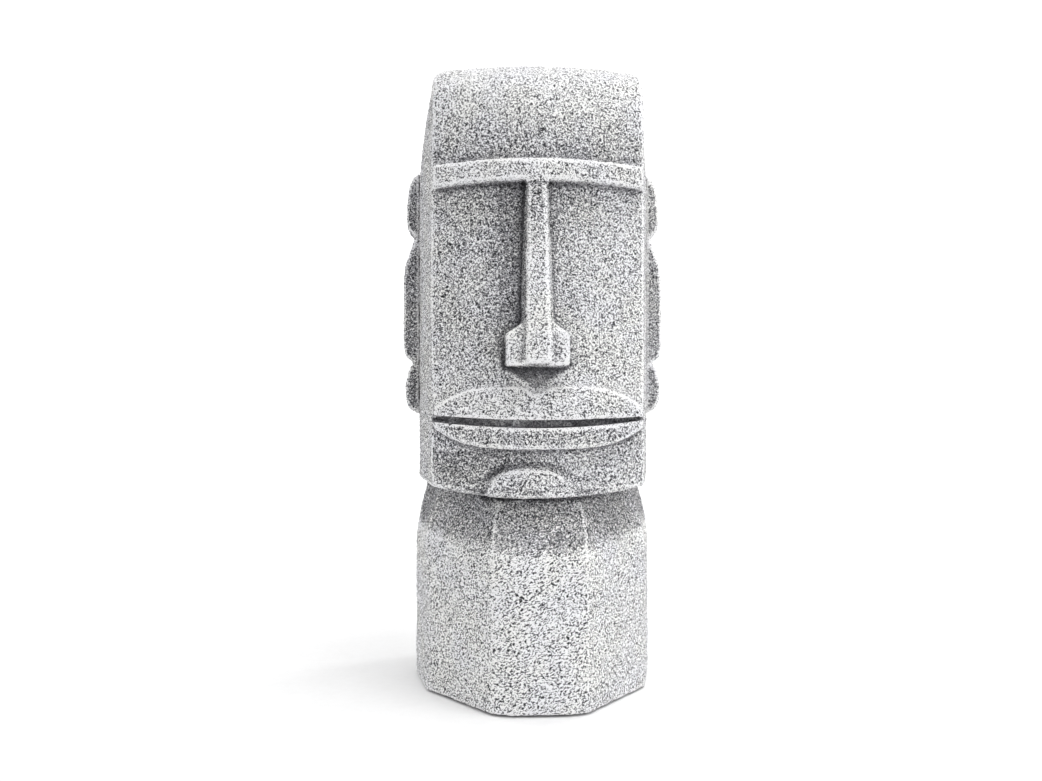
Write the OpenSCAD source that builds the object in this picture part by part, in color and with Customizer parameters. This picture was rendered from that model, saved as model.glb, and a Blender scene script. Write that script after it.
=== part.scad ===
// Standing stone-look head figure for the garden: a hollow moulded figure in two shells,
// with a face side and a back side, two applied ears, a screwed base plate, a sand filling
// and a screw plug to fill it through. Millimetres, +Z up, face towards -Y, origin on the
// ground under the middle of the figure.

/* [Figure] */
// Height from the ground to the crown
figure_h = 711; // [660:1:760]
// Width of the torso at its widest
torso_w = 281; // [275:1:290]
// Width of the head at the roots of the ears
head_w = 272; // [268:1:278]
// Width of the face between its two front edges
face_w = 232; // [226:1:238]

/* [Face] */
// How far the middle of the face stands ahead of its side edges
face_bulge = 24; // [16:1:28]
// How far the brow stands ahead of the eye hollows
brow_proud = 13; // [8:1:16]
// Width of the nose at its nostrils
nose_w = 67; // [58:1:74]
// How far the nose tip stands ahead of the lips
nose_proud = 20; // [12:1:24]
// Height of the slot between the lips
mouth_gap = 6.5; // [5:0.5:9]

/* [Shells] */
// Thickness of the moulded wall
wall = 6; // [5:0.5:8]
// Thickness of the adhesive strip between the two shells
seam_gap = 0.8; // [0.5:0.1:1.5]
// How far the joining flange reaches in from the outside
flange_w = 18; // [15:1:22]

/* [Base] */
// Thickness of the base plate
plate_t = 6; // [4:0.5:8]
// Height of the rim below the base plate
rim_h = 8; // [6:0.5:10]
// Height of the filling of sand above the base plate
sand_h = 104; // [60:1:120]
// Radius of the filling hole
fill_r = 25; // [20:1:28]
// Pitch of the plug's thread
plug_pitch = 4; // [3:0.5:5]

/* [Hidden] */

$fn = 48;
eps = 0.01;
clear = 0.05;

// Levels are set on a figure 711 mm tall and scale with its height.
k = figure_h / 711;
rim_z = 2;
plate_z = rim_z + rim_h;
deck_z = plate_z + plate_t;
shoulder_z = 166 * k;
neck_z = 250 * k;
jaw_z = 226 * k;
mouth_z = 306 * k;
lip_top_z = 344 * k;
lip_low_z = 278 * k;
nose_low_z = 367 * k;
nose_top_z = 566 * k;
wing_z = 400 * k;
wing_top_z = 408 * k;
brow_low_z = 562 * k;
brow_top_z = 585 * k;

// The two shells part at the front of the ears.
seam_y = 15;
front_y = seam_y - seam_gap / 2;
rear_y = seam_y + seam_gap / 2;
ear_back_y = 62;
mid_y = 12;
eye_y = -104;
brow_y = eye_y - brow_proud;
lip_y = -121;
head_back_y = 138;
half_face = face_w / 2;
half_head = head_w / 2;
half_torso = torso_w / 2;
side_slope = (half_head - half_face) / (seam_y - eye_y - face_bulge);

// Middle line of the face from the jaw up to the forehead: [level, y].
face_line = [
    [222, -108], [238, -110], [258, -104], [276, -104], [300, -108], [330, -112],
    [352, -110], [385, -106], [415, eye_y], [445, eye_y], [475, eye_y], [505, eye_y],
    [535, eye_y], [560, eye_y], [590, -106], [612, -110], [630, -112]
];
// Top of the head: [level, share of the width, share of the depth].
crown_line = [
    [600, 1, 1], [642, 0.957, 0.995], [663, 0.933, 0.955], [680, 0.905, 0.86],
    [689, 0.865, 0.77], [695, 0.805, 0.69], [699, 0.72, 0.61], [703, 0.57, 0.5],
    [706.5, 0.4, 0.38], [709.2, 0.22, 0.22], [711, 0.02, 0.02]
];
wide_line = [for (p = crown_line) [p[0], p[1]]];
deep_line = [for (p = crown_line) [p[0], p[2]]];
head_zs = concat([for (p = face_line) p[0] * k],
                 [for (p = crown_line) if (p[0] > 630) p[0] * k]);
// The nose and the chin sit a little to one side of the middle.
nose_x = -3;
chin_x = -9;

// Plan of the torso, right half from chest to back: [share of the half width, y].
torso_plan = [
    [0, -127], [0.2, -126.5], [0.36, -121], [0.885, -38], [1, 30], [1, 78], [0.82, 118],
    [0.42, 137], [0, 141]
];
// Plan of the top of the neck, point for point with the torso.
neck_plan = [
    [0, -82], [0.17, -81.5], [0.3, -78], [0.75, -14], [0.88, 32], [0.88, 72], [0.73, 106],
    [0.38, 122], [0, 126]
];
// [level, share of the way from torso plan to neck plan] up the torso and the neck.
body_line = [
    [2, 0], [90, 0], [157, 0.02], [166, 0.07], [176, 0.18], [190, 0.36], [206, 0.58],
    [226, 0.82], [250, 1]
];

dowel_levels = [148, 262, 372, 482, 596];
dowel_r = 4;
dowel_l = 36;
boss_r = 9;
post_h = 30;
post_spots = [[0, -109], [-76, -67], [76, -67], [-125, 56], [125, 56], [0, 123]];
pad_spots = [[-84, -42], [84, -42], [-90, 94], [90, 94]];
pad_r = 14;
stem_r = 5;
screw_r = 2;
screw_head_r = 4.5;
screw_head_h = 2.6;
plug_y = 10;
plug_flange_r = fill_r + 9;
gasket_t = 2.5;
collar_h = 20;
ear_screw_spots = [[39, 348 * k], [39, 552 * k]];
ear_pad_x = half_head - wall - 4;

stone = "#b4b6b8";
stone_shade = "#77797c";

// ---- plans and lofts --------------------------------------------------------------------

function mirrored(half) =
    concat(half, [for (i = [len(half) - 2:-1:1]) [-half[i].x, half[i].y]]);

function inset(ring, t) = [
    for (p = ring) let (d = p - [0, mid_y], r = norm(d)) [0, mid_y] + d * (1 - t / r)
];

// Depth of the soft hollow of the eye, at each side of the nose under the brow.
function eye_hollow(x, z) =
    6.5 * exp(-pow((x - 44) / 27, 2)) * exp(-pow((z / k - 488) / 58, 2));

// Plan of the head at level z: bowed front, flared sides, round back, closing to the crown.
function head_ring(z) =
    let (wide = half_head * lookup(z / k, wide_line),
         sy = lookup(z / k, deep_line),
         y0 = lookup(z / k, face_line),
         edge = min(half_head - side_slope * (seam_y - y0 - face_bulge), 0.955 * wide),
         n = 10,
         front = [for (i = [0:n]) let (x = edge * i / n)
             [x, y0 + face_bulge * pow(i / n, 2) + eye_hollow(x, z)]],
         back = [for (a = [0:11.25:90])
             [wide * pow(cos(a), 0.8),
              ear_back_y + (head_back_y - ear_back_y) * pow(sin(a), 0.8)]])
    mirrored([for (p = concat(front, [[wide, seam_y]], back))
        [p.x, mid_y + (p.y - mid_y) * sy]]);

function body_ring(z) =
    let (t = lookup(z / k, body_line), tx = pow(t, 1.6))
    mirrored([for (i = [0:len(torso_plan) - 1])
        let (p = torso_plan[i], q = neck_plan[i])
        [(p.x * (1 - tx) + q.x * tx) * half_torso, p.y * (1 - t) + q.y * t]]);

body_zs = [for (p = body_line) p[0] == 2 ? rim_z : p[0] * k];

module loft(rings, levels) {
    n = len(rings[0]);
    top = (len(rings) - 1) * n;
    polyhedron(
        points = [for (i = [0:len(rings) - 1]) for (p = rings[i]) [p.x, p.y, levels[i]]],
        faces = concat(
            [[for (i = [0:n - 1]) i]],
            [for (r = [0:len(rings) - 2]) for (i = [0:n - 1])
                let (a = r * n + i, b = r * n + (i + 1) % n)
                each [[a, a + n, b + n], [a, b + n, b]]],
            [[for (i = [n - 1:-1:0]) top + i]]));
}

// Upright slab of an outline drawn on X and Z, from y0 to y1.
module slab(y0, y1) {
    translate([0, y1, 0]) rotate([90, 0, 0]) linear_extrude(y1 - y0) children();
}

module above(y) {
    translate([-400, y, -10]) cube([800, 400, figure_h + 50]);
}

module below(y) {
    translate([-400, y - 400, -10]) cube([800, 400, figure_h + 50]);
}

// ---- outer form -------------------------------------------------------------------------

// Lower edge of the jaw: a shallow arc, lowest at the chin.
function jaw(x) = jaw_z + 11 * k * pow(min(1, abs(x) / half_face), 2.6);

module jaw_outline() {
    polygon(concat(
        [for (x = [-160:10:160]) [x, jaw(x)]],
        [[160, figure_h + 10], [-160, figure_h + 10]]));
}

module body_form(t = 0) {
    loft([for (z = body_zs) inset(body_ring(z), t)], body_zs);
}

module head_form() {
    intersection() {
        loft([for (z = head_zs) head_ring(z)], head_zs);
        slab(-200, 200) jaw_outline();
    }
}

// A bowed slab of the face whose middle line runs through [level, y] points.
module face_slab(line) {
    n = 16;
    loft([for (p = line) concat(
            [for (i = [-n / 2:n / 2])
                [half_face * i / (n / 2), p[1] + face_bulge * pow(2 * i / n, 2)]],
            [[half_face, -40], [-half_face, -40]])],
         [for (p = line) p[0]]);
}

// Keeps what is added to the face flush with the sides of the head.
module between_sides() {
    intersection() {
        children();
        translate([0, 0, jaw_z - 20]) linear_extrude(figure_h) polygon([
            [-half_head, seam_y], [-half_head + side_slope * 160, seam_y - 160],
            [half_head - side_slope * 160, seam_y - 160], [half_head, seam_y]]);
    }
}

module brow() {
    drop = 5 * k;
    function arch(x) = -drop * pow(x / half_face, 2);
    between_sides() intersection() {
        face_slab([[brow_low_z - 12, brow_y + 2], [brow_low_z + 3, brow_y],
                   [brow_top_z - 3, brow_y], [brow_top_z + 8, brow_y + 5]]);
        slab(-200, -60) polygon(concat(
            [for (x = [-120:12:120]) [x, brow_low_z + arch(x)]],
            [for (x = [120:-12:-120]) [x, brow_top_z + 0.8 * arch(x)]]));
    }
}

function lip_top(x) = let (a = abs(x))
    lip_top_z - (a > 45 ? 22 * k * pow((a - 45) / 68, 2.4) : 0)
              - 8 * k * exp(-pow((x - nose_x) / 9, 2));
function lip_low(x) = lip_low_z + 22 * k * pow(abs(x) / 112, 4);
function mouth_mid(x) = mouth_z - 1 + 5.5 * k * pow(abs(x) / 112, 2);
function mouth_half(x) = mouth_gap / 2 * pow(max(0, 1 - pow(abs(x) / 113, 4)), 0.4);

module lips() {
    reach = 113;
    xs = [for (i = [-20:20]) reach * i / 20];
    between_sides() intersection() {
        face_slab([[lip_low_z - 4, lip_y + 6], [lip_low_z + 5, lip_y + 2],
                   [mouth_z - 6, lip_y], [mouth_z + 6, lip_y], [lip_top_z - 12, lip_y + 2],
                   [lip_top_z + 4, lip_y + 7]]);
        slab(-200, -60) polygon(concat(
            [for (x = xs) [x, lip_low(x)]],
            [for (i = [40:-1:0]) [xs[i], lip_top(xs[i])]]));
    }
}

module mouth() {
    xs = [for (i = [-20:20]) 112 * i / 20];
    intersection() {
        slab(-200, eye_y + face_bulge - 2) polygon(concat(
            [for (x = xs) [x, mouth_mid(x) - mouth_half(x)]],
            [for (i = [40:-1:0]) [xs[i], mouth_mid(xs[i]) + mouth_half(xs[i])]]));
        difference() {
            translate([-130, -200, mouth_z - 20]) cube([260, 130, 50]);
            face_slab([[mouth_z - 30, lip_y + 14], [mouth_z + 40, lip_y + 14]]);
        }
    }
}

module nose() {
    tip_y = lip_y - nose_proud;
    root_y = eye_y - 10;
    // ridge
    translate([nose_x, 0, 0]) hull() {
        for (s = [-1, 1]) {
            translate([s * 12, tip_y + 1.5, nose_low_z + 2.5]) sphere(1.5, $fn = 8);
            translate([s * 16, tip_y + 12, nose_low_z]) cylinder(r = 1, h = 1, $fn = 8);
            translate([s * 18, eye_y + 8, nose_low_z - 2]) cylinder(r = 1, h = 1, $fn = 8);
            translate([s * 8.8, root_y + 1, nose_top_z]) sphere(1, $fn = 8);
            translate([s * 12, eye_y + 8, nose_top_z]) sphere(1, $fn = 8);
        }
    }
    // nostrils
    for (s = [-1, 1]) translate([nose_x, 0, 0]) hull() {
        for (p = [[nose_w / 2 - 1.5, nose_low_z], [nose_w / 2 - 1.5, wing_z - 2],
                  [17, wing_top_z], [10, nose_low_z]]) {
            translate([s * p.x, tip_y + 11, p.y]) sphere(1.5, $fn = 8);
            translate([s * (p.x + 1), eye_y + 8, p.y]) sphere(1.5, $fn = 8);
        }
    }
}

module chin() {
    intersection() {
        translate([chin_x, eye_y, jaw_z]) scale([50, 14, 36 * k]) sphere(1, $fn = 36);
        slab(-200, 0) jaw_outline();
    }
}

module philtrum() {
    hull() {
        translate([nose_x, lip_y - 6, lip_top_z + 8]) sphere(9, $fn = 16);
        translate([nose_x, lip_y - 2, nose_low_z]) sphere(12, $fn = 16);
    }
}

module outer_form() {
    body_form();
    difference() {
        union() {
            head_form();
            brow();
            lips();
            chin();
        }
        mouth();
        philtrum();
    }
    nose();
}

// ---- inner form -------------------------------------------------------------------------

module cavity(t = wall) {
    body_levels = concat([rim_z - 1], [for (i = [1:len(body_zs) - 1]) body_zs[i]],
                         [neck_z + 8]);
    loft([for (z = body_levels) inset(body_ring(max(z, rim_z)), t)], body_levels);
    shrink = (figure_h - t) / figure_h;
    head_levels = [for (z = head_zs) if (z > 256 * k) z];
    loft([for (z = head_levels) inset(head_ring(z), min(t, 0.8 * head_ring(z)[8].x))],
         [for (z = head_levels) z * shrink]);
}

// Outline of the figure where the two shells meet, on X and Z.
seam_outline = let (
    zs = concat([for (z = body_zs) if (z < jaw(half_head)) z], [jaw(half_head)]),
    body = [for (z = zs) [edge_at(body_ring(z), seam_y), z]],
    head = [for (z = head_zs) if (z > jaw(half_head)) [edge_at(head_ring(z), seam_y), z]])
    concat(body, [[half_head, jaw(half_head)]], head,
           [for (i = [len(head) - 1:-1:0]) [-head[i].x, head[i].y]],
           [[-half_head, jaw(half_head)]],
           [for (i = [len(body) - 1:-1:0]) [-body[i].x, body[i].y]]);

// Half width of a plan at depth y, on its right side.
function edge_at(ring, y) = max([for (i = [0:floor(len(ring) / 2) - 1])
    let (a = ring[i], b = ring[i + 1])
    (a.y <= y && b.y > y) ? a.x + (b.x - a.x) * (y - a.y) / (b.y - a.y) : 0]);

module flange_outline(out, in) {
    difference() {
        offset(delta = -out) polygon(seam_outline);
        offset(delta = -in) polygon(seam_outline);
        translate([-200, -50]) square([400, 50 + deck_z + 4]);
    }
}

function dowel_x(level) = edge_at(level < 240 ? body_ring(level * k) : head_ring(level * k), seam_y)
                          - flange_w + 3;

// Everything at a dowel, on both sides of the seam.
module at_dowels() {
    for (level = dowel_levels, s = [-1, 1])
        translate([s * dowel_x(level), 0, level * k]) rotate([-90, 0, 0]) children();
}

// Bosses around the dowels, each run into the wall beside it.
module dowel_bosses() {
    reach = dowel_l / 2 + 4;
    for (level = dowel_levels, s = [-1, 1]) hull() {
        translate([s * dowel_x(level), seam_y - reach, level * k]) rotate([-90, 0, 0])
            cylinder(r = boss_r, h = 2 * reach, $fn = 24);
        translate([s * (dowel_x(level) + flange_w - 5), seam_y, level * k])
            cube([4, 2 * reach - 8, 12], center = true);
    }
}

// Posts inside the foot of the figure that the base screws bite into.
module posts() {
    for (p = post_spots) {
        out = (p - [0, mid_y]) / norm(p - [0, mid_y]);
        hull() {
            translate([p.x, p.y, deck_z]) cylinder(r = boss_r, h = post_h, $fn = 24);
            translate([p.x, p.y, deck_z] + 12 * [out.x, out.y, 0])
                cylinder(r = 3, h = post_h + 14, $fn = 12);
        }
    }
}

module ear_pads() {
    for (s = [-1, 1], p = ear_screw_spots) translate([s * ear_pad_x, p[0], p[1]])
        rotate([0, s * 90, 0]) cylinder(r = 9, h = wall, $fn = 20);
}

// The hollow of the figure, less everything that stands on the inside of its wall.
module hollow() {
    difference() {
        cavity();
        slab(front_y - 4, rear_y + 4) flange_outline(2, flange_w);
        dowel_bosses();
        posts();
        ear_pads();
    }
}

module seam_holes() {
    at_dowels() translate([0, 0, seam_y - dowel_l / 2 - 1])
        cylinder(r = dowel_r + clear, h = dowel_l + 2, $fn = 20);
    for (p = post_spots) translate([p.x, p.y, deck_z - 1])
        cylinder(r = screw_r + clear, h = post_h - 4, $fn = 16);
}

// ---- sub-parts --------------------------------------------------------------------------

module front_shell() {
    color(stone) difference() {
        intersection() {
            outer_form();
            below(front_y);
        }
        hollow();
        seam_holes();
    }
}

module rear_shell() {
    color(stone) difference() {
        intersection() {
            union() {
                body_form();
                head_form();
            }
            above(rear_y);
        }
        hollow();
        seam_holes();
        for (s = [-1, 1], p = ear_screw_spots) translate([s * (ear_pad_x - 1), p[0], p[1]])
            rotate([0, s * 90, 0]) cylinder(r = screw_r + 0.3, h = 20, $fn = 16);
    }
}

// How far the ear stands out from the head, from the top down: [level, stand-off].
ear_front = [
    [599, 0], [594, 7], [583, 12], [562, 14.5], [540, 15], [531, 13], [523, 5], [502, 11.5],
    [489, 16.5], [470, 18.5], [392, 18.5], [380, 16], [373, 7], [366, 12], [346, 17],
    [328, 16], [318, 11], [312, 0]
];
// Outline of the ear seen from the side: [y, level].
ear_side = [
    [0, 599], [22, 602], [38, 596], [47, 580], [47, 552], [40, 534], [33, 522], [35, 500],
    [36, 392], [36, 374], [42, 362], [44, 342], [38, 320], [24, 310], [0, 311]
];
ear_y = seam_y + 1.5;

module right_ear() {
    color(stone_shade) difference() {
        intersection() {
            slab(ear_y, ear_y + 60) polygon(concat(
                [for (p = ear_front) [half_head + p[1], p[0] * k]],
                [[half_head, 300 * k], [half_head, 610 * k]]));
            translate([half_head, ear_y, 0]) rotate([90, 0, 90]) linear_extrude(30)
                polygon([for (p = ear_side) [p[0], p[1] * k]]);
        }
        // long channel of the ear
        hull() for (level = [400, 488, 556])
            translate([half_head + 12, ear_y + 20, level * k]) rotate([0, 90, 0])
                cylinder(r1 = 4, r2 = 9, h = 10, $fn = 24);
        for (p = ear_screw_spots) translate([half_head - 1, p[0], p[1]])
            rotate([0, 90, 0]) cylinder(r = screw_r + clear, h = 9, $fn = 16);
    }
}

module left_ear() {
    mirror([1, 0, 0]) right_ear();
}

module ear_screws() {
    color("silver") for (s = [-1, 1], p = ear_screw_spots)
        translate([s * ear_pad_x, p[0], p[1]]) rotate([0, s * 90, 0]) {
            translate([0, 0, -screw_head_h]) cylinder(r = screw_head_r, h = screw_head_h);
            cylinder(r = screw_r, h = half_head - ear_pad_x + 7);
        }
}

module seam_strip() {
    color("dimgray") difference() {
        slab(front_y, rear_y) flange_outline(3, flange_w);
        at_dowels() translate([0, 0, seam_y - 2]) cylinder(r = dowel_r + 0.5, h = 4);
    }
}

module seam_dowels() {
    color("ivory") at_dowels() translate([0, 0, seam_y - dowel_l / 2])
        cylinder(r = dowel_r, h = dowel_l);
}

module plate_outline() {
    polygon(inset(body_ring(rim_z), wall + 1));
}

module base_plate() {
    color("#4a4c4e") difference() {
        union() {
            translate([0, 0, plate_z]) linear_extrude(plate_t) plate_outline();
            translate([0, plug_y, plate_z]) cylinder(r = fill_r + 6, h = plate_t + collar_h);
        }
        translate([0, plug_y, plate_z - 1])
            cylinder(r = fill_r + clear, h = plate_t + collar_h + 2);
        for (p = post_spots) translate([p.x, p.y, plate_z - 1])
            cylinder(r = screw_r + 0.4, h = plate_t + 2);
        for (p = pad_spots) translate([p.x, p.y, plate_z - 1])
            cylinder(r = stem_r + clear, h = plate_t + 2);
    }
}

module base_screws() {
    color("silver") for (p = post_spots) translate([p.x, p.y, plate_z]) {
        translate([0, 0, -screw_head_h]) cylinder(r = screw_head_r, h = screw_head_h);
        cylinder(r = screw_r, h = plate_t + post_h - 8);
    }
}

module foot_pads() {
    color("#242424") for (p = pad_spots) translate([p.x, p.y, 0]) {
        cylinder(r1 = pad_r - 2, r2 = pad_r, h = plate_z);
        translate([0, 0, plate_z - eps]) cylinder(r = stem_r, h = plate_t);
    }
}

module sand_fill() {
    gap = 0.6;
    top_z = deck_z + sand_h;
    levels = [deck_z + gap, 90 * k, top_z];
    color("#c9b48a") difference() {
        loft([for (z = levels) inset(body_ring(z), wall + gap)], levels);
        translate([0, plug_y, 0]) cylinder(r = fill_r + 6 + gap, h = deck_z + collar_h + gap);
        for (p = post_spots) {
            out = p - [0, mid_y];
            hull() {
                translate([p.x, p.y, 0]) cylinder(r = boss_r + gap, h = deck_z + post_h + 15);
                translate([p.x, p.y, 0] + 24 * [out.x, out.y, 0] / norm(out))
                    cylinder(r = boss_r + gap, h = deck_z + post_h + 15);
            }
        }
        slab(seam_y - 5, seam_y + 5) difference() {
            translate([-200, 0]) square([400, 200 * k]);
            offset(delta = -flange_w - gap) polygon(seam_outline);
        }
    }
}

module filler_plug() {
    base = plate_z - gasket_t;
    color("#2f3133") translate([0, plug_y, 0]) difference() {
        union() {
            translate([0, 0, base - 3]) cylinder(r = plug_flange_r, h = 3);
            translate([0, 0, base - eps]) cylinder(r = fill_r, h = gasket_t + plate_t + collar_h - 2);
        }
        // hollow from below, with a bar left across it to turn it by
        difference() {
            translate([0, 0, base - 4]) cylinder(r = fill_r - 4, h = plate_t + collar_h - 2);
            translate([-fill_r, -4, base - 3]) cube([2 * fill_r, 8, 14]);
        }
    }
}

module plug_gasket() {
    color("#1c1c1c") translate([0, plug_y, plate_z - gasket_t]) difference() {
        cylinder(r = plug_flange_r - 1, h = gasket_t);
        translate([0, 0, -1]) cylinder(r = fill_r + 0.3, h = gasket_t + 2);
    }
}

front_shell();
rear_shell();
left_ear();
right_ear();
ear_screws();
seam_strip();
seam_dowels();
base_plate();
base_screws();
foot_pads();
sand_fill();
filler_plug();
plug_gasket();
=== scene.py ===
"""Looks of a standing stone-look head figure: moulded shells with a dry-brushed stipple finish and
painted light and shade, two dark ears, a base plate with its filler plug, and the plain pale studio
it stands in.
"""

import math

import bmesh
import bpy
import numpy as np
from bpy.props import FloatProperty, FloatVectorProperty, IntProperty, PointerProperty
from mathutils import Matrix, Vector, kdtree, noise


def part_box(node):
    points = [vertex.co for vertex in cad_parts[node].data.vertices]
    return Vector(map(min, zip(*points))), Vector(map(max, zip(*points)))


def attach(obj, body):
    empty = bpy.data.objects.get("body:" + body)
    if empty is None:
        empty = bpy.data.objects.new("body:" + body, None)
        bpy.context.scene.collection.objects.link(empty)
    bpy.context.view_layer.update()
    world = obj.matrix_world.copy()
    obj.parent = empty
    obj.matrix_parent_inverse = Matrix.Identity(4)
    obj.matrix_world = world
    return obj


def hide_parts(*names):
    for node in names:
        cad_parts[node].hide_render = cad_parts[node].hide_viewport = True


bl_info = {
    "name": "Stone-look head figure",
    "version": (1, 0, 0),
    "blender": (4, 5, 0),
    "location": "3D View > Sidebar > Head figure",
    "description": "Builds the moulded shells, ears, base and studio of a stone-look garden figure",
    "category": "Object",
}

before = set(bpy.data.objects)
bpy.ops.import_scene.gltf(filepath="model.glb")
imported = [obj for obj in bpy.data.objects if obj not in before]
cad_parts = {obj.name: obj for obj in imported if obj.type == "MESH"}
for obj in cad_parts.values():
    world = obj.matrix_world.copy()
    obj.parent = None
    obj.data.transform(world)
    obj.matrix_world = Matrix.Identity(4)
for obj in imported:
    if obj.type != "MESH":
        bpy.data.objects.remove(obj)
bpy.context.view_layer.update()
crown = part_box("front_shell")[1].z

# Metres, on a figure of the design height.
DESIGN_HEIGHT = 0.711
NOSE_X = -0.003  # the nose and the chin sit a little to one side of the middle
CHIN_X = -0.009
CHIN_Z = 0.226
HALF_FACE = 0.116
FACE_Y = -0.119  # the face plane at its middle line; the nose stands in front of it
BROW_UNDER = 0.564
BROW_TOP = 0.583
NOSE_UNDER = 0.362
HEAD_UNDER = 0.22
SLOT_REACH = 0.1145
SLOT_FLOOR = -0.111
PLATE_THICK = 0.006
SOLID_VOLUME = 0.02  # cubic metres: the figure filled in holds more than this, its walls alone less
SOFTENING_DETAIL = 0.002  # the detail at which the softening rounds hold as they are given
SHELL_CRISP = 0.00028  # forms that stand out by more than this keep their line
EAR_CRISP = 0.00035
CORE_DETAIL = 0.005
FLOOR_LEVEL = -0.0003  # a hair under the pads, so that the two faces don't meet
AIM_LEFT = math.radians(0.83)
LAYERS = ("edge_wear", "in_hollow", "brush_cover", "grain_share")


# ---- settings ---------------------------------------------------------------------------


class FigureShape(bpy.types.PropertyGroup):
    """How finely the moulding is worked, and how rough its surface is."""

    shell_detail: FloatProperty(
        name="Shell detail",
        description="Size of the smallest form on the shells",
        default=0.0024,
        min=0.0018,
        max=0.006,
        unit="LENGTH",
    )
    ear_detail: FloatProperty(
        name="Ear detail",
        description="Size of the smallest form on the ears",
        default=0.0016,
        min=0.001,
        max=0.004,
        unit="LENGTH",
    )
    edge_rounds: IntProperty(
        name="Edge softening",
        description="Rounds of smoothing that every moulded edge gets",
        default=3,
        min=1,
        max=12,
    )
    plane_rounds: IntProperty(
        name="Plane softening",
        description="Rounds of smoothing that the open planes get",
        default=70,
        min=10,
        max=120,
    )
    hewn_depth: FloatProperty(
        name="Hewn depth",
        description="Height of the slow waves left by the modeller's hand",
        default=0.0011,
        min=0.0,
        max=0.003,
        unit="LENGTH",
    )
    stipple_depth: FloatProperty(
        name="Stipple depth",
        description="Height of the coarse stipple on the surface",
        default=0.0008,
        min=0.0,
        max=0.0015,
        unit="LENGTH",
    )


class FigureFinish(bpy.types.PropertyGroup):
    """Colours and grain of the painted finish."""

    base_coat: FloatVectorProperty(
        name="Base coat",
        description="Dark coat that stays in the pits of the stipple",
        default=(0.044, 0.044, 0.048),
        subtype="COLOR",
        min=0.0,
        max=1.0,
    )
    mid_coat: FloatVectorProperty(
        name="Middle coat",
        description="Grey coat under the dry brushing",
        default=(0.212, 0.212, 0.222),
        subtype="COLOR",
        min=0.0,
        max=1.0,
    )
    dry_brush: FloatVectorProperty(
        name="Dry brush",
        description="Pale coat dragged over the high points",
        default=(0.95, 0.95, 0.95),
        subtype="COLOR",
        min=0.0,
        max=1.0,
    )
    raw_resin: FloatVectorProperty(
        name="Raw resin",
        description="Unpainted resin inside the shells",
        default=(0.4, 0.4, 0.39),
        subtype="COLOR",
        min=0.0,
        max=1.0,
    )
    grain_pitch: FloatProperty(
        name="Grain pitch",
        description="Distance between the high points of the stipple",
        default=0.0028,
        min=0.002,
        max=0.01,
        unit="LENGTH",
    )
    grain_depth: FloatProperty(
        name="Grain depth",
        description="Apparent depth of the stipple",
        default=0.0005,
        min=0.0,
        max=0.003,
        unit="LENGTH",
    )
    grain_contrast: FloatProperty(
        name="Grain contrast",
        description="How much paler the high points of the stipple are than its pits",
        default=1.85,
        min=0.0,
        max=3.0,
    )


class StudioSetup(bpy.types.PropertyGroup):
    """Where the camera stands and how bright the studio is."""

    camera_turn: FloatProperty(
        name="Camera turn",
        description="How far the camera stands round from straight ahead",
        default=math.radians(-3.2),
        subtype="ANGLE",
    )
    camera_far: FloatProperty(
        name="Camera distance",
        description="Distance from the middle of the figure",
        default=1.061,
        min=0.5,
        max=4.0,
        unit="LENGTH",
    )
    camera_high: FloatProperty(
        name="Camera height",
        description="Height of the level camera above the floor",
        default=0.340,
        min=0.0,
        max=2.0,
        unit="LENGTH",
    )
    lens: FloatProperty(
        name="Lens",
        description="Focal length",
        default=31.1,
        min=10.0,
        max=200.0,
        unit="CAMERA",
    )
    key_power: FloatProperty(
        name="Key light",
        description="Power of the overhead soft light",
        default=17.0,
        min=0.0,
        max=300.0,
    )
    side_power: FloatProperty(
        name="Side light",
        description="Power of the soft light on the right",
        default=7.0,
        min=0.0,
        max=300.0,
    )
    paper_power: FloatProperty(
        name="Backdrop light",
        description="Power of each light on the backdrop",
        default=19.0,
        min=0.0,
        max=300.0,
    )
    room_light: FloatProperty(
        name="Room light",
        description="Strength of the pale room",
        default=0.72,
        min=0.0,
        max=3.0,
    )


# ---- mesh work --------------------------------------------------------------------------


def coordinates(mesh):
    found = np.empty(len(mesh.vertices) * 3)
    mesh.vertices.foreach_get("co", found)
    return found.reshape(-1, 3)


def outward(mesh):
    found = np.empty(len(mesh.vertices) * 3)
    mesh.vertices.foreach_get("normal", found)
    return found.reshape(-1, 3)


def levels(places):
    """Heights above the ground, brought to a figure of the design height."""
    return places[:, 2] / crown * DESIGN_HEIGHT


def move_to(mesh, places):
    mesh.vertices.foreach_set("co", np.ascontiguousarray(places, dtype=np.float32).ravel())
    mesh.update()


def new_piece(name, bm):
    mesh = bpy.data.meshes.new(name)
    bm.to_mesh(mesh)
    bm.free()
    piece = bpy.data.objects.new(name, mesh)
    bpy.context.scene.collection.objects.link(piece)
    return piece


def bmesh_of(mesh):
    bm = bmesh.new()
    bm.from_mesh(mesh)
    return bm


def cad_copy(*nodes):
    """One bmesh of the merged CAD meshes of these nodes."""
    bm = bmesh.new()
    for node in nodes:
        bm.from_mesh(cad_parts[node].data)
    bmesh.ops.remove_doubles(bm, verts=bm.verts, dist=2e-6)
    return bm


def finish_modifiers(piece):
    """Turns what the modifiers make of a piece into its mesh."""
    bpy.context.view_layer.update()
    seen = piece.evaluated_get(bpy.context.evaluated_depsgraph_get())
    mesh = bpy.data.meshes.new_from_object(seen)
    piece.modifiers.clear()
    old = piece.data
    piece.data = mesh
    bpy.data.meshes.remove(old)


def remesh(piece, size):
    step = piece.modifiers.new("remesh", "REMESH")
    step.mode = "VOXEL"
    step.voxel_size = size
    finish_modifiers(piece)


def combine(piece, other, operation):
    step = piece.modifiers.new("combine", "BOOLEAN")
    step.operation = operation
    step.object = other
    step.solver = "MANIFOLD"
    finish_modifiers(piece)


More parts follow.
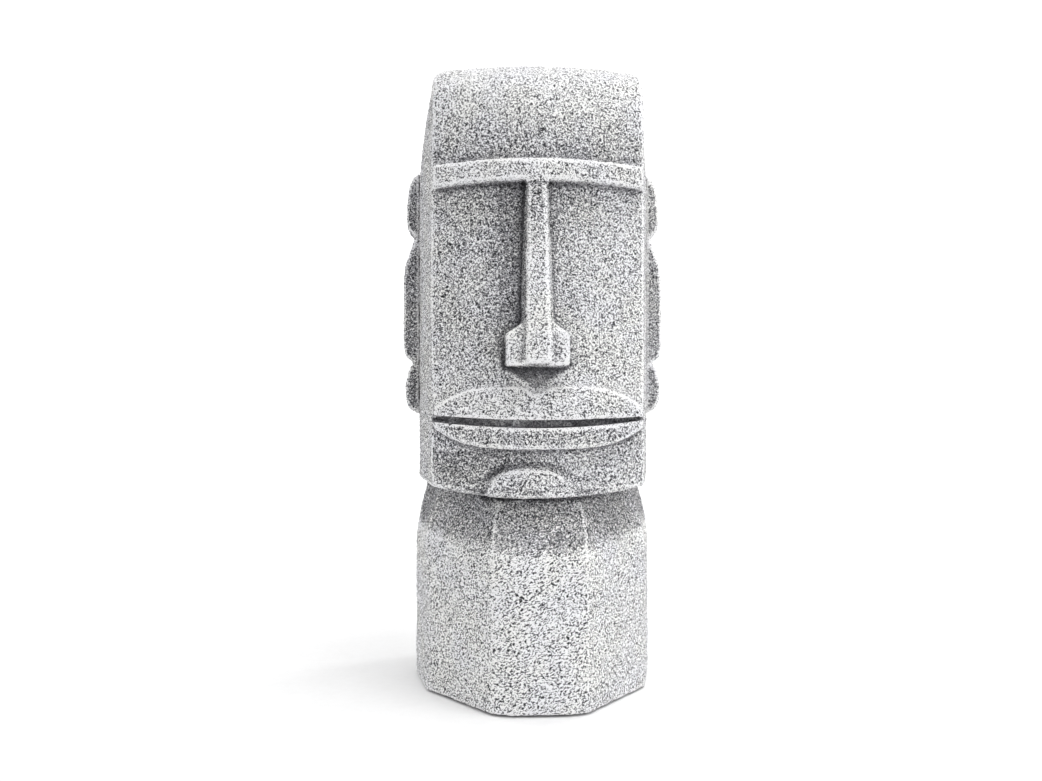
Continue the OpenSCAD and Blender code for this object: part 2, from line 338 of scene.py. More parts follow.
def keep_largest(piece):
    """Deletes the crumbs that a cut leaves beside the piece itself."""
    bm = bmesh_of(piece.data)
    group = {}
    sizes = []
    for start in bm.verts:
        if start in group:
            continue
        group[start] = len(sizes)
        waiting, count = [start], 0
        while waiting:
            v = waiting.pop()
            count += 1
            for e in v.link_edges:
                near = e.other_vert(v)
                if near not in group:
                    group[near] = len(sizes)
                    waiting.append(near)
        sizes.append(count)
    kept = sizes.index(max(sizes))
    bmesh.ops.delete(bm, geom=[v for v in bm.verts if group[v] != kept], context="VERTS")
    bm.to_mesh(piece.data)
    bm.free()


def discard(*pieces):
    for piece in pieces:
        mesh = piece.data
        bpy.data.objects.remove(piece)
        bpy.data.meshes.remove(mesh)


def smoothed(mesh, rounds, still=None):
    """Where the vertices go when smoothed this many rounds; those marked still stay."""
    bm = bmesh_of(mesh)
    moving = [v for v in bm.verts if still is None or not still[v.index]]
    for _ in range(rounds):
        bmesh.ops.smooth_vert(
            bm, verts=moving, factor=0.5, use_axis_x=True, use_axis_y=True, use_axis_z=True
        )
    places = np.array([v.co[:] for v in bm.verts])
    bm.free()
    return places


def relief(mesh, rounds):
    """How far each vertex stands out of its smoothed surroundings, in metres."""
    lifted = coordinates(mesh) - smoothed(mesh, rounds)
    return (lifted * outward(mesh)).sum(axis=1)


def soften(mesh, edge_rounds, plane_rounds, crisp):
    """Smooths the open planes much more than the edges, which keep their line."""
    sharp = np.abs(relief(mesh, 10)) > crisp
    move_to(mesh, smoothed(mesh, plane_rounds, sharp))
    move_to(mesh, smoothed(mesh, edge_rounds))


def store(mesh, name, values):
    layer = mesh.attributes.get(name) or mesh.attributes.new(name, "FLOAT", "POINT")
    layer.data.foreach_set("value", np.ascontiguousarray(values, dtype=np.float32))


def stored(mesh, name):
    values = np.empty(len(mesh.vertices), dtype=np.float32)
    mesh.attributes[name].data.foreach_get("value", values)
    return values


def roughen(mesh, hewn, stipple, pitch):
    """Pushes the surface in and out: slow waves of the hand, then the coarse stipple."""
    places, normals = coordinates(mesh), outward(mesh)
    long_wave, short_wave, apart = 24, 61, Vector((7, 3, 5))
    push = np.empty(len(places))
    for i, at in enumerate(places):
        p = Vector(at)
        waves = 0.6 * noise.noise(p * long_wave) + 0.4 * noise.noise(p * short_wave + apart)
        push[i] = hewn * waves + stipple * noise.noise(p * (0.9 / pitch))
    move_to(mesh, places + normals * push[:, None])


def step_between(x, low, high):
    """A soft step from 0 at low to 1 at high."""
    t = np.clip((x - low) / (high - low), 0, 1)
    return t * t * (3 - 2 * t)


def hump(x, middle, width):
    """A soft peak of 1 at middle."""
    return np.exp(-(((x - middle) / width) ** 2))


def under_nose(x, z):
    """The hollow between nose and upper lip: a triangle that points down, soft at its rim."""
    reach = 0.002 + 0.033 * np.clip((z - 0.342) / 0.022, 0, 1.1)
    across = step_between(reach - np.abs(x - NOSE_X), -0.004, 0.006)
    return across * step_between(z, 0.338, 0.346) * step_between(0.374 - z, 0.0, 0.004)


def above_chin(x, z):
    """The crescent that sets the boss of the chin off from the jaw."""
    out = np.hypot((x - CHIN_X + 0.001) / 0.054, (z - CHIN_Z + 0.002) / 0.034)
    left_more = 1 - 0.45 * step_between(x, -0.02, 0.03)
    return hump(out, 1.07, 0.08) * step_between(z, 0.234, 0.252) * left_more


def bow(x):
    """How far the face falls back from its middle line towards its side edges."""
    return 0.024 * (x / HALF_FACE) ** 2


def slot_edges(x):
    """Lower and upper edge of the slot: blunt at its left end, pointed at its right."""
    share = x / SLOT_REACH
    middle = 0.3048 + 0.0055 * share**2
    half = 0.0043 - np.where(share < 0, 0.0005, 0.0024) * share**2
    return middle - half, middle + half


def press_hollows(mesh):
    """Presses in the hollow under the nose and the crescent above the chin."""
    p, n = coordinates(mesh), outward(mesh)
    x, z = p[:, 0], levels(p)
    front = step_between(-p[:, 1], 0.08, 0.095) * step_between(-n[:, 1], 0.3, 0.8)
    behind_nose = p[:, 1] > FACE_Y + 0.001
    depth = 0.0035 * under_nose(x, z) * behind_nose + 0.0022 * above_chin(x, z)
    p[:, 1] += front * depth
    move_to(mesh, p)


def note_brushing_and_painted_light(mesh):
    """Stores how pale each place is, from bare (0) to covered (1): the dry brushing together with
    painted light and painted shade.
    """
    p, n = coordinates(mesh), outward(mesh)
    x, y, z = p[:, 0], p[:, 1], levels(p)
    to_left, to_right, down = (np.clip(v, 0, 1) for v in (-n[:, 0], n[:, 0], -n[:, 2]))
    off_nose = np.abs(x - NOSE_X)
    side = step_between(x, -0.05, 0.06)
    face = step_between(-y, 0.06, 0.085) * step_between(-n[:, 1], 0.2, 0.5)
    cover_and_light = np.full(len(p), 0.785)
    # forehead: painted light at the crown, painted shade down to the brow ledge
    on_forehead = face * step_between(z, BROW_TOP, BROW_TOP + 0.005)
    cover_and_light += on_forehead * (0.06 - 0.21 * hump(z, BROW_TOP + 0.002, 0.05))
    # cheeks: painted shade, with painted shadow under the brow and painted shade beside the nose,
    # and painted light towards the right
    in_cheek = face * step_between(z, 0.34, 0.36) * step_between(BROW_UNDER - z, 0.0, 0.006)
    in_cheek *= step_between(y, FACE_Y - 0.009, FACE_Y)
    nose_shade = 1 - step_between(off_nose, 0.018, 0.075)
    brow_shadow = hump(z, BROW_UNDER - 0.004, 0.035)
    cover_and_light += in_cheek * (-0.12 + 0.115 * side - 0.10 * nose_shade - 0.09 * brow_shadow)
    # nose: the ridge is pale; painted shade on its flanks, deepest on the flank that faces left,
    # away from the light
    nose_levels = (z > NOSE_UNDER) * (z < BROW_UNDER)
    on_nose = face * nose_levels * (off_nose < 0.037) * (y < FACE_Y)
    cover_and_light += on_nose * 0.01
    near_nose = nose_levels * (off_nose < 0.04) * (y < -0.09)
    cover_and_light -= near_nose * (0.30 * to_left + 0.06 * to_right)
    # lower lip and the jaw under it in painted shade, deeper on the left, with the boss of the chin
    # left paler
    lower_lip = face * step_between(z, 0.276, 0.282) * step_between(0.304 - z, 0.0, 0.004)
    cover_and_light -= 0.125 * lower_lip
    in_jaw = face * step_between(0.279 - z, 0.0, 0.006) * (z > HEAD_UNDER)
    cover_and_light -= in_jaw * (0.225 - 0.13 * side)
    boss = 1 - np.hypot((x - CHIN_X) / 0.05, (z - CHIN_Z) / 0.034)
    cover_and_light += in_jaw * 0.10 * step_between(boss, 0, 0.2)
    # painted shadow under the nose and painted shade in the crescent above the chin
    cover_and_light -= face * (0.15 * under_nose(x, z) * (y > FACE_Y) + 0.17 * above_chin(x, z))
    # neck under the jaw in painted shade, less on its back, then the pale torso
    ledge = z - 0.014 * (x / 0.12) ** 2
    in_front = 1 - 0.6 * step_between(y, 0.0, 0.1)
    neck = step_between(ledge, 0.160, 0.180) * step_between(0.24 - z, 0.0, 0.012)
    cover_and_light -= 0.25 * in_front * neck
    cover_and_light += 0.205 * step_between(0.172 - ledge, 0.0, 0.012) + 0.06 * hump(ledge, 0.162, 0.005)
    # painted light on what faces up, painted shade on what faces down or sideways, more on the left
    # side, away from the light
    cover_and_light += 0.10 * np.clip(n[:, 2], 0, 1) - 0.15 * down
    cover_and_light -= 0.10 * step_between(to_left, 0.75, 0.97) + 0.04 * step_between(to_right, 0.75, 0.97)
    # the back of the head took a little less than the face
    cover_and_light -= 0.06 * step_between(y, 0.04, 0.12) * (z > 0.2)
    store(mesh, "brush_cover", np.clip(cover_and_light, 0, 1))
    # the grain is stronger on the head's side walls and on the torso, weaker in the painted shadow
    # under the nose
    sideways = np.abs(n[:, 0])
    share = 1 + 0.8 * step_between(sideways, 0.7, 0.97) * (z > 0.23)
    share += 0.45 * step_between(0.19 - z, 0.0, 0.03) - 0.35 * face * under_nose(x, z)
    share += 0.25 * step_between(sideways, 0.3, 0.6) * (z < 0.2)
    store(mesh, "grain_share", share)


def note_wear(mesh, scale=1.0):
    """Stores where edges wear pale and where hollows stay dark, partly base coat left by the dry
    brush and partly painted shade, for the finish to read.
    """
    near = relief(mesh, 4) / (0.0002 * scale)
    wide = relief(mesh, 26) / (0.0014 * scale)
    p, n = coordinates(mesh), outward(mesh)
    x, y, z = p.T
    # two upright creases run down the front of the neck
    creases = hump(np.abs(x) - 0.042, 0, 0.0016) * (n[:, 1] < -0.5)
    creases *= step_between(z, 0.185, 0.2) * (z < 0.228) * (y > -0.115)
    store(mesh, "edge_wear", np.clip(near + 0.6 * creases, 0, 1))
    # hollows: painted shade in the recesses, together with the base coat the dry brush leaves there
    store(mesh, "in_hollow", np.clip(-near * 0.7, 0, 1) * 0.5 + np.clip(-wide, 0, 1) * 0.5)


def slot_cutter(step):
    """A bowed wedge that opens the slot between the lips."""
    bm = bmesh.new()
    count = round(2 * SLOT_REACH / step)
    rings = []
    for i in range(count + 1):
        x = -SLOT_REACH + 2 * SLOT_REACH * i / count
        low, high = slot_edges(x)
        back = SLOT_FLOOR + bow(x)
        ring = [(x, back - 0.04, low), (x, back - 0.04, high)]
        ring += [(x, back, high + (low - high) * i / 6) for i in range(7)]
        rings.append([bm.verts.new(at) for at in ring])
    bm.faces.new(rings[0])
    bm.faces.new(reversed(rings[-1]))
    for pair in zip(rings, rings[1:]):
        edges = []
        for ring in pair:
            for ends in zip(ring, ring[1:] + ring[:1]):
                edges.append(bm.edges.get(ends) or bm.edges.new(ends))
        bmesh.ops.bridge_loops(bm, edges=edges)
    bmesh.ops.recalc_face_normals(bm, faces=bm.faces)
    return new_piece("slot_cutter", bm)


def mark_slot(mesh):
    """Stores the finish in and around the slot: streaked, with painted shade inside, worn at its
    rim.
    """
    p = coordinates(mesh)
    x, y, z = p[:, 0], p[:, 1], levels(p)
    low, high = slot_edges(np.clip(x, -SLOT_REACH, SLOT_REACH))
    surface = FACE_Y - 0.0005 + bow(x)
    at_slot = (np.abs(x) < SLOT_REACH + 0.001) & (y < SLOT_FLOOR + bow(x) + 0.009)
    inside = at_slot & (y > surface + 0.0012) & (z > low - 0.001) & (z < high + 0.001)
    off = np.maximum(low - z, z - high)
    rim = at_slot & ~inside & (off < 0.0022) & (y < surface + 0.002)
    wear, hollow, cover_and_light, share = (stored(mesh, name) for name in LAYERS)
    wear[rim], wear[inside] = np.maximum(wear[rim], 0.55), 0
    streak = np.array([noise.noise(Vector((at[0] * 14, 0, at[2] * 900))) for at in p[inside]])
    # painted shade inside the slot, streaked
    cover_and_light[inside] = 0.46 + 0.5 * streak
    hollow[inside | rim] = 0
    share[inside] = 0.4
    for name, values in zip(LAYERS, (wear, hollow, cover_and_light, share)):
        store(mesh, name, values)


# ---- finishes ---------------------------------------------------------------------------


class Wire:
    """A number that runs through a material, so that sums on it read as sums."""

    def __init__(self, recipe, socket):
        self.recipe = recipe
        self.socket = socket

    def _sum(self, operation, first, second):
        return self.recipe.add("ShaderNodeMath", {"operation": operation}, {0: first, 1: second})

    def __add__(self, other):
        return self._sum("ADD", self, other)

    def __radd__(self, other):
        return self._sum("ADD", other, self)

    def __sub__(self, other):
        return self._sum("SUBTRACT", self, other)

    def __rsub__(self, other):
        return self._sum("SUBTRACT", other, self)

    def __mul__(self, other):
        return self._sum("MULTIPLY", self, other)

    def __rmul__(self, other):
        return self._sum("MULTIPLY", other, self)


class Finish:
    """One material and the nodes that make it."""

    def __init__(self, name):
        self.material = bpy.data.materials.new(name)
        self.material.use_nodes = True
        self.tree = self.material.node_tree
        self.tree.nodes.clear()

    def add(self, kind, settings=None, sockets=None, out=0):
        """A node of this kind: its settings first, then its sockets' values or links."""
        made = self.tree.nodes.new(kind)
        for key, value in (settings or {}).items():
            if key == "stops":
                ramp = made.color_ramp.elements
                while len(ramp) < len(value):
                    ramp.new(0.5)
                for element, (at, colour) in zip(ramp, value):
                    element.position = at
                    element.color = (*colour, 1)
            else:
                setattr(made, key, value)
        for key, value in (sockets or {}).items():
            if isinstance(value, Wire):
                self.tree.links.new(value.socket, made.inputs[key])
            else:
                made.inputs[key].default_value = value
        return Wire(self, made.outputs[out]) if made.outputs else None

    def place(self):
        return self.add("ShaderNodeTexCoord", out="Object")

    def layer(self, name):
        return self.add("ShaderNodeAttribute", {"attribute_name": name}, out="Fac")

    def noise(self, at, scale, detail=2.0, rough=0.5, distortion=0.0, out="Fac"):
        sockets = {"Vector": at, "Scale": scale, "Detail": detail}
        sockets |= {"Roughness": rough, "Distortion": distortion}
        return self.add("ShaderNodeTexNoise", {"noise_dimensions": "3D"}, sockets, out)

    def shifted(self, at, by, amount):
        """The place at, moved by a share of the vector by."""
        shift = self.add(
            "ShaderNodeVectorMath", {"operation": "SCALE"}, {0: by, "Scale": amount}
        )
        return self.add("ShaderNodeVectorMath", {"operation": "ADD"}, {0: at, 1: shift})

    def turned(self, at, turn, scale):
        """The place at on a grid turned about the front-to-back axis, then stretched."""
        sockets = {"Vector": at, "Rotation": (0, turn, 0), "Scale": scale}
        return self.add("ShaderNodeMapping", {"vector_type": "TEXTURE"}, sockets)

    def ramp(self, value, stops):
        return self.add("ShaderNodeValToRGB", {"stops": stops}, {0: value})

    def pits(self, at, scale):
        sockets = {"Vector": at, "Scale": scale}
        return self.add("ShaderNodeTexVoronoi", {"feature": "F1"}, sockets, "Distance")

    def between(self, value, low, high, to_low=0.0, to_high=1.0):
        return self.add(
            "ShaderNodeMapRange",
            {"interpolation_type": "SMOOTHSTEP"},
            {"Value": value, 1: low, 2: high, 3: to_low, 4: to_high},
        )

    def blend(self, share, first, second, how="MIX"):
        first, second = (c if isinstance(c, Wire) else (*c[:3], 1) for c in (first, second))
        settings = {"data_type": "RGBA", "blend_type": how}
        return self.add("ShaderNodeMix", settings, {0: share, 6: first, 7: second}, out=2)

    def bump(self, height, depth, strength):
        sockets = {"Height": height, "Distance": depth, "Strength": strength}
        return self.add("ShaderNodeBump", None, sockets)

    def surface(self, **sockets):
        """Ends the material in a shader with these sockets."""
        named = {key.replace("_", " "): value for key, value in sockets.items()}
        shader = self.add("ShaderNodeBsdfPrincipled", None, named)
        self.add("ShaderNodeOutputMaterial", None, {"Surface": shader})
        return self.material


def stone_finish(name, look):
    """Dry-brushed stipple: dark in its pits, pale on its high points and worn edges, with the
    painted light and shade that the cover and hollow layers carry.
    """
    f = Finish(name)
    at = f.place()
    worn, hollow, cover_and_light = f.layer("edge_wear"), f.layer("in_hollow"), f.layer("brush_cover")
    pitch = look.grain_pitch
    bent = f.shifted(at, f.noise(at, 0.3 / pitch, 1.0, out="Color"), 1.6 * pitch)
    level = f.add("ShaderNodeSeparateXYZ", None, {0: at}, "Z")
    on_torso = f.between(level, 0.16, 0.20, 1.0, 0.0)
    strokes = f.noise(bent, 1.6 / pitch, 1.5, 0.5, 0.5)
    dragged = f.turned(bent, math.radians(-24), (1.6, 1, 0.9))
    dabs = f.noise(dragged, 1.75 / pitch, 1.2, 0.5, 0.5)
    strokes = strokes + on_torso * (dabs - strokes)
    fine = f.noise(at, 3.7 / pitch, 1.0)
    patches = f.noise(at, 16.0, 2.5, 0.6)
    pit = f.between(f.pits(at, 0.3 / pitch), 0.06, 0.2, 1.0, 0.0)
    grain = 1.9 * (strokes - 0.5) + 0.7 * (fine - 0.5)
    line = f.between(worn + 0.4 * (strokes - 0.5), 0.4, 0.95)
    # the grain is weaker where the cover and its painted shade are dark, and in the hollows
    depth = look.grain_contrast * f.layer("grain_share")
    depth = depth * (0.1 + 1.25 * cover_and_light) * (1 - 0.45 * hollow)
    tone = cover_and_light + depth * grain + 0.15 * (patches - 0.5)
    # paler on worn edges, painted shade in the hollows, dark in the pits of the stipple
    tone = tone + 0.36 * line - 0.15 * hollow - 0.26 * pit
    base, mid, pale = (tuple(c) for c in (look.base_coat, look.mid_coat, look.dry_brush))
    light = tuple(m + 0.47 * (p - m) for m, p in zip(mid, pale))
    deep = tuple(c * 0.3 for c in base)
    coats = ((0.0, deep), (0.22, base), (0.50, mid), (0.75, light), (0.93, pale))
    colour = f.ramp(tone, coats)
    tint = f.ramp(f.noise(at, 26.0, 1.5), ((0.35, (1, 0.996, 0.985)), (0.65, (0.972, 0.972, 1))))
    colour = f.blend(1.0, colour, tint, "MULTIPLY")
    return f.surface(
        Base_Color=colour,
        Roughness=0.86,
        Specular_IOR_Level=0.25,
        Normal=f.bump(grain - 0.5 * pit, look.grain_depth, 0.8),
    )


def plain_finish(name, colour, rough=0.6, grain=300.0, depth=0.0002, metal=0.0, vary=0.12):
    """Moulded plastic, rubber, sand or metal, with a fine grain and a little unevenness."""
    f = Finish(name)
    at = f.place()
    speck = f.noise(at, grain, 3.0, 0.6)
    cloud = f.noise(at, 22.0, 3.0, 0.6)
    darker = tuple(c * (1 - vary) for c in colour)
    paler = tuple(min(1.0, c * (1 + vary) + 0.01) for c in colour)
    shade = f.blend(f.between(0.5 * speck + 0.5 * cloud, 0.35, 0.65), darker, paler)
    return f.surface(
        Base_Color=shade,
        Roughness=f.between(cloud, 0.3, 0.7, rough - 0.08, rough + 0.08),
        Metallic=metal,
        Normal=f.bump(speck, depth, 0.6),
    )


def dress(piece, *materials):
    piece.data.materials.clear()
    for material in materials:
        piece.data.materials.append(material)


def dress_nodes(material, *nodes):
    """Gives this finish to CAD nodes that show their own shape."""
    for node in nodes:
        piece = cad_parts[node]
        if not piece.material_slots:
            piece.data.materials.append(material)
        for spot in piece.material_slots:
            spot.material = material


# ---- pieces -----------------------------------------------------------------------------


def plate_block(low, high):
    """A closed block on the outline of the base plate, a little wider than the plate."""
    wider = 1.03
    plate = cad_copy("base_plate")
    block = bmesh.new()
    for level in (low, high):
        for v in plate.verts:
            block.verts.new((v.co.x * wider, v.co.y * wider, level))
    plate.free()
    bmesh.ops.convex_hull(block, input=block.verts)
    inner = [v for v in block.verts if not v.link_faces]
    bmesh.ops.delete(block, geom=inner, context="VERTS")
    bmesh.ops.recalc_face_normals(block, faces=block.faces)
    return block


def solid_figure(size):
    """The whole figure as one closed solid, with the recess under its base."""
    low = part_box("base_plate")[0].z
    block = plate_block(low, low + PLATE_THICK)
    filler = bpy.data.meshes.new("filler")
    block.to_mesh(filler)
    block.free()
    # at an unlucky size the remesh keeps the inside hollow, so the next one is tried
    for share in (1, 1.04, 1.09):
        bm = cad_copy("front_shell", "rear_shell", "seam_strip")
        bm.from_mesh(filler)
        piece = new_piece("figure_solid", bm)
        remesh(piece, size * share)
        made = bmesh_of(piece.data)
        full = made.calc_volume() > SOLID_VOLUME
        made.free()
        if full:
            bpy.data.meshes.remove(filler)
            return piece
        discard(piece)
    raise RuntimeError("the figure stayed hollow at every size that was tried")


def inner_core(size):
    """What is hollow in the figure: the CAD shells taken out of a slightly shrunk figure."""
    shrink, under_ground = 0.003, -0.01
    core = solid_figure(size)
    move_to(core.data, coordinates(core.data) - outward(core.data) * shrink)
    plate_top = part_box("base_plate")[0].z + PLATE_THICK
    block = new_piece("plate_block", plate_block(under_ground, plate_top))
    combine(core, block, "UNION")
    for node in ("front_shell", "rear_shell"):
        shell = new_piece("shell_copy", cad_copy(node))
        combine(core, shell, "DIFFERENCE")
        discard(shell)
    discard(block)
    return core


def half_of(figure, plane_y, keep_front, name):
    """The part of the figure on one side of the seam, closed at the cut."""
    bm = bmesh_of(figure.data)
    everything = bm.verts[:] + bm.edges[:] + bm.faces[:]
    cut = bmesh.ops.bisect_plane(
        bm,
        geom=everything,
        dist=1e-7,
        plane_co=(0, plane_y, 0),
        plane_no=(0, 1, 0),
        clear_outer=keep_front,
        clear_inner=not keep_front,
    )
    edges = [e for e in cut["geom_cut"] if isinstance(e, bmesh.types.BMEdge)]
    normal = (0, 1 if keep_front else -1, 0)
    bmesh.ops.triangle_fill(bm, edges=edges, use_beauty=True, normal=normal)
    bmesh.ops.recalc_face_normals(bm, faces=bm.faces)
    return new_piece(name, bm)


def carry_layers(source, piece, reach=0.0004):
    """Copies the stored layers from the nearest vertex; faces beyond reach are inside ones."""
    tree = kdtree.KDTree(len(source.vertices))
    for i, at in enumerate(coordinates(source)):
        tree.insert(at, i)
    tree.balance()
    found = [tree.find(at) for at in coordinates(piece.data)]
    index = np.array([f[1] for f in found])
    away = np.array([f[2] for f in found])
    for name in LAYERS:
        store(piece.data, name, stored(source, name)[index])
    within = away > reach
    kinds = [int(all(within[v] for v in face.vertices)) for face in piece.data.polygons]
    piece.data.polygons.foreach_set("material_index", kinds)


class FIGURE_OT_shells(bpy.types.Operator):
    """Makes the two moulded shells with their stippled stone finish"""

    bl_idname = "figure.shells"
    bl_label = "Make the shells"

    def execute(self, context):
        shape, look = context.scene.figure_shape, context.scene.figure_finish
        size = shape.shell_detail * 1
        figure = solid_figure(size)
        scale = size / SOFTENING_DETAIL
        press_hollows(figure.data)
        soften(
            figure.data,
            max(1, round(shape.edge_rounds / scale**2)),
            max(8, round(shape.plane_rounds / scale**2)),
            SHELL_CRISP * scale,
        )
        note_wear(figure.data, scale)
        note_brushing_and_painted_light(figure.data)
        roughen(figure.data, shape.hewn_depth, shape.stipple_depth, look.grain_pitch)
        uncut = new_piece("uncut", bmesh_of(figure.data))
        cutter = slot_cutter(0.002)
        combine(figure, cutter, "DIFFERENCE")
        carry_layers(uncut.data, figure)
        mark_slot(figure.data)
        discard(uncut, cutter)
        core = inner_core(CORE_DETAIL)
        stone = stone_finish("stone_finish", look)
        resin = plain_finish("raw_resin", tuple(look.raw_resin), 0.7, 260.0, 0.0003)
        halves = (
            ("front_shell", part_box("front_shell")[1].y, True, "face_moulding"),
            ("rear_shell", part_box("rear_shell")[0].y, False, "back_moulding"),
        )
        for node, plane_y, front, name in halves:
            piece = half_of(figure, plane_y, front, name)
            combine(piece, core, "DIFFERENCE")
            keep_largest(piece)
            carry_layers(figure.data, piece)
            dress(piece, stone, resin)
            piece.data.shade_smooth()
            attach(piece, "figure")
            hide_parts(node)
            if len(piece.data.polygons) < 1000:
                raise RuntimeError(f"{name} came out empty")
        discard(figure, core)
        return {"FINISHED"}


class FIGURE_OT_ears(bpy.types.Operator):
    """Makes the two long ears, dark and little brushed, with painted light on the right ear and on
    faces turned up
    """

    bl_idname = "figure.ears"
    bl_label = "Make the ears"

    def execute(self, context):
        shape, look = context.scene.figure_shape, context.scene.figure_finish
        size = shape.ear_detail * 1
        stone = stone_finish("ear_finish", look)
        for node in ("left_ear", "right_ear"):
            piece = new_piece(node + "_moulding", cad_copy(node))
            remesh(piece, size)
            soften(piece.data, 4, 30, EAR_CRISP)
            note_wear(piece.data)
            p, n = coordinates(piece.data), outward(piece.data)
            # painted light on the right ear, painted shade on the left; painted light on faces
            # turned up, painted shade on faces turned sideways
            paler, share = (0.09, 0.7) if p[:, 0].mean() > 0 else (0, 1.0)
            cover_and_light = 0.50 + 0.12 * np.clip(n[:, 2], 0, 1) + paler
            cover_and_light -= 0.12 * step_between(np.abs(n[:, 0]), 0.6, 0.95)
            store(piece.data, "brush_cover", cover_and_light)
            store(piece.data, "grain_share", np.full(len(p), share))
            roughen(piece.data, shape.hewn_depth, shape.stipple_depth, look.grain_pitch)
            dress(piece, stone)
            piece.data.shade_smooth()
            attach(piece, "figure")
            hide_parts(node)
        return {"FINISHED"}


class FIGURE_OT_base(bpy.types.Operator):
    """Finishes the base plate, its filler plug, gasket, screws and pads"""

    bl_idname = "figure.base"
    bl_label = "Finish the base"

    def execute(self, context):
        grey, black = (0.07, 0.072, 0.076), (0.03, 0.031, 0.034)
        dress_nodes(plain_finish("base_plate_plastic", grey, 0.6, 700.0, 0.0002), "base_plate")
        dress_nodes(plain_finish("plug_plastic", black, 0.42, 900.0, 0.0001), "filler_plug")
        ring, pad = (0.018, 0.018, 0.018), (0.02, 0.02, 0.021)
        dress_nodes(plain_finish("gasket_rubber", ring, 0.75, 600.0, 0.0001), "plug_gasket")
        dress_nodes(plain_finish("pad_rubber", pad, 0.85, 500.0, 0.0003), "foot_pads")
        steel = plain_finish("screw_steel", (0.6, 0.6, 0.58), 0.36, 400.0, 0.00005, 1.0, 0.06)
        dress_nodes(steel, "base_screws", "ear_screws")
        return {"FINISHED"}


class FIGURE_OT_inside(bpy.types.Operator):
    """Finishes what is inside the figure: adhesive strip, dowels and sand"""

    bl_idname = "figure.inside"
    bl_label = "Finish the inside"

    def execute(self, context):
        glue, bone, buff = (0.24, 0.24, 0.25), (0.82, 0.79, 0.7), (0.55, 0.45, 0.31)
        dress_nodes(plain_finish("seam_adhesive", glue, 0.5, 500.0, 0.0002), "seam_strip")
        dowel = plain_finish("dowel_plastic", bone, 0.4, 500.0, 0.00005, 0.0, 0.04)
        dress_nodes(dowel, "seam_dowels")
        sand = plain_finish("settled_sand", buff, 0.95, 900.0, 0.0006, 0.0, 0.35)
        dress_nodes(sand, "sand_fill")
        return {"FINISHED"}


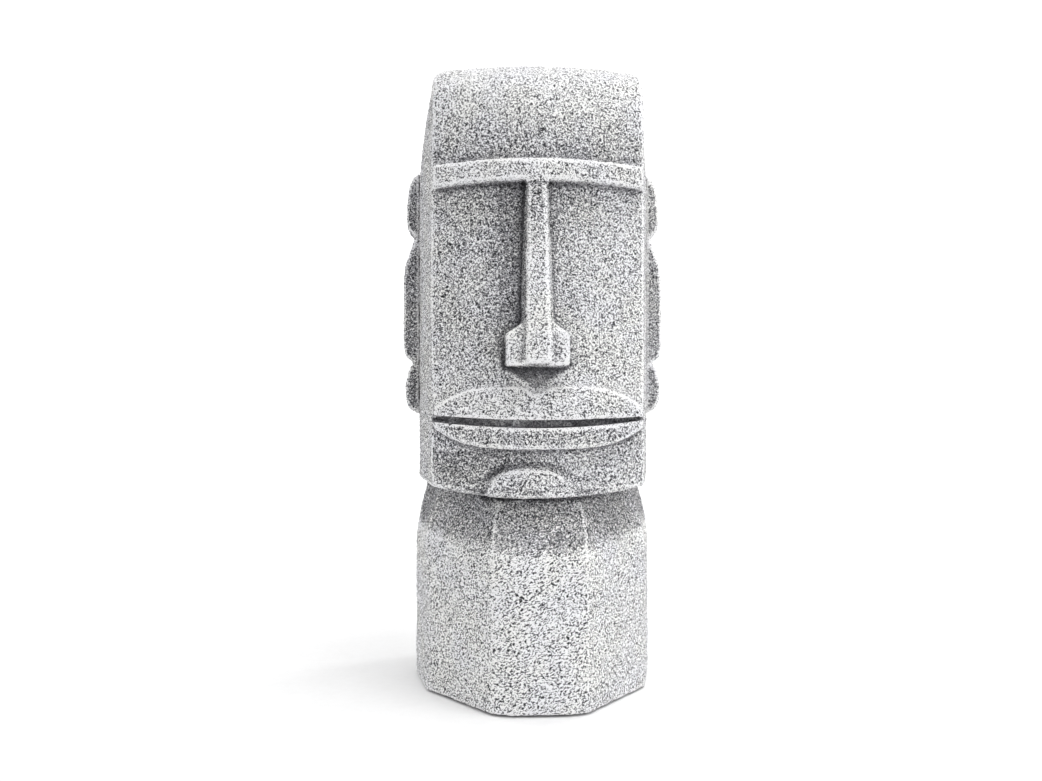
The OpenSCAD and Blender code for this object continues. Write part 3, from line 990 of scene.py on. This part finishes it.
class FIGURE_OT_stage(bpy.types.Operator):
    """Sets up the pale floor and backdrop, the soft lights and the camera"""

    bl_idname = "figure.stage"
    bl_label = "Set the stage"

    def execute(self, context):
        studio = context.scene.figure_studio
        bm = bmesh.new()
        half, behind, bend = 3, 1.6, 0.9
        corners = ((-half, -half), (half, -half), (half, behind), (-half, behind))
        bm.faces.new([bm.verts.new((x, y, FLOOR_LEVEL)) for x, y in corners])
        edge = [e for e in bm.edges if all(abs(v.co.y - behind) < 1e-6 for v in e.verts)]
        bmesh.ops.spin(
            bm,
            geom=edge,
            cent=(0, behind, bend),
            axis=(1, 0, 0),
            dvec=(0, 0, 0),
            angle=math.pi / 2,
            steps=16,
        )
        top = max(v.co.z for v in bm.verts)
        rim = [e for e in bm.edges if all(abs(v.co.z - top) < 1e-5 for v in e.verts)]
        raised = bmesh.ops.extrude_edge_only(bm, edges=rim)
        up = [v for v in raised["geom"] if isinstance(v, bmesh.types.BMVert)]
        bmesh.ops.translate(bm, vec=(0, 0, 2.4), verts=up)
        bmesh.ops.remove_doubles(bm, verts=bm.verts, dist=1e-5)
        bmesh.ops.recalc_face_normals(bm, faces=bm.faces)
        paper = new_piece("studio_paper", bm)
        paper.data.shade_smooth()
        white = (0.93, 0.93, 0.93)
        dress(paper, plain_finish("paper_white", white, 0.9, 120.0, 0.00002, 0.0, 0.01))

        world = bpy.data.worlds.new("studio")
        world.use_nodes = True
        room = world.node_tree.nodes["Background"]
        room.inputs["Color"].default_value = (1.0, 1.0, 1.0, 1)
        room.inputs["Strength"].default_value = studio.room_light
        context.scene.world = world

        middle = (0, 0, crown * 0.5)
        lights = (
            ("key", (0.55, -0.5, 2.1), middle, 1.2, studio.key_power),
            ("side", (1.9, -1.2, 0.9), middle, 1.3, studio.side_power),
            ("paper_left", (-1.5, 0.9, 1.7), (-0.5, 2.5, 0.5), 0.9, studio.paper_power),
            ("paper_right", (1.5, 0.9, 1.7), (0.5, 2.5, 0.5), 0.9, studio.paper_power),
        )
        for name, place, target, size, power in lights:
            lamp = bpy.data.lights.new(name, "AREA")
            lamp.shape = "DISK"
            lamp.size = size
            lamp.energy = power
            holder = bpy.data.objects.new(name, lamp)
            context.scene.collection.objects.link(holder)
            holder.location = place
            aim = Vector(target) - Vector(place)
            holder.rotation_euler = aim.to_track_quat("-Z", "Y").to_euler()

        lens = bpy.data.cameras.new("camera")
        lens.sensor_width = 36
        lens.lens = studio.lens
        camera = bpy.data.objects.new("camera", lens)
        context.scene.collection.objects.link(camera)
        turn, far = studio.camera_turn, studio.camera_far
        camera.location = (far * math.sin(turn), -far * math.cos(turn), studio.camera_high)
        camera.rotation_euler = (math.radians(90), 0, turn + AIM_LEFT)
        context.scene.camera = camera
        context.scene.view_settings.view_transform = "Standard"
        return {"FINISHED"}


class FIGURE_PT_panel(bpy.types.Panel):
    """Lists the settings and the steps in order"""

    bl_idname = "FIGURE_PT_panel"
    bl_label = "Head figure"
    bl_space_type = "VIEW_3D"
    bl_region_type = "UI"
    bl_category = "Head figure"

    def draw(self, context):
        for group in ("figure_shape", "figure_finish", "figure_studio"):
            settings = getattr(context.scene, group)
            box = self.layout.box()
            for name in settings.bl_rna.properties.keys():
                if name not in ("rna_type", "name"):
                    box.prop(settings, name)
        for step in STEPS:
            self.layout.operator(step.bl_idname)


STEPS = (FIGURE_OT_stage, FIGURE_OT_shells, FIGURE_OT_ears, FIGURE_OT_base, FIGURE_OT_inside)
GROUPS = (
    ("figure_shape", FigureShape),
    ("figure_finish", FigureFinish),
    ("figure_studio", StudioSetup),
)


def register():
    for name, group in GROUPS:
        bpy.utils.register_class(group)
        setattr(bpy.types.Scene, name, PointerProperty(type=group))
    for step in STEPS:
        bpy.utils.register_class(step)
    bpy.utils.register_class(FIGURE_PT_panel)


def unregister():
    bpy.utils.unregister_class(FIGURE_PT_panel)
    for step in reversed(STEPS):
        bpy.utils.unregister_class(step)
    for name, group in reversed(GROUPS):
        delattr(bpy.types.Scene, name)
        bpy.utils.unregister_class(group)


def main():
    register()
    for step in STEPS:
        group, name = step.bl_idname.split(".")
        getattr(getattr(bpy.ops, group), name)()


if __name__ == "__main__":
    main()
